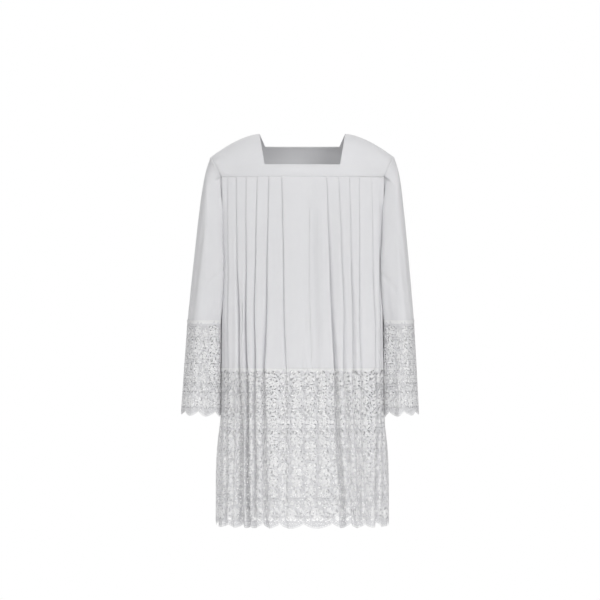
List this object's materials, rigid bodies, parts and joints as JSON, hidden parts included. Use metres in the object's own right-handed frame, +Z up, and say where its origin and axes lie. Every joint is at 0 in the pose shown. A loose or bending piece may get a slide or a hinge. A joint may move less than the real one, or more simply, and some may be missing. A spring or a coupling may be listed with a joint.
{
  "type": "lace surplice",
  "caption": "White worn surplice with a square-necked yoke, a knife-pleated body, wide sleeves, and deep scalloped flower lace at the hem and cuffs.",
  "frame": {"origin": "between the shoulders, level with the top of the neck opening and midway from front to back, where the wearer's shoulders hold it up", "axes": "+X to the viewer's right and the wearer's left, across the width; the front faces -Y; +Z up, along the length"},
  "size_m": [0.6181, 0.3381, 1.0145],
  "materials": {
    "cotton": "matte plain weave",
    "lace": "matte machine lace on fine net"
  },
  "bodies": {
    "root": {"yoke_front": "cotton", "yoke_back": "cotton", "body_front": "cotton", "body_back": "cotton", "hem_lace_front": "lace", "hem_lace_back": "lace", "sleeve_left": "cotton", "sleeve_right": "cotton", "cuff_lace_left_front": "lace", "cuff_lace_left_back": "lace", "cuff_lace_right_front": "lace", "cuff_lace_right_back": "lace"}
  },
  "joints": []
}
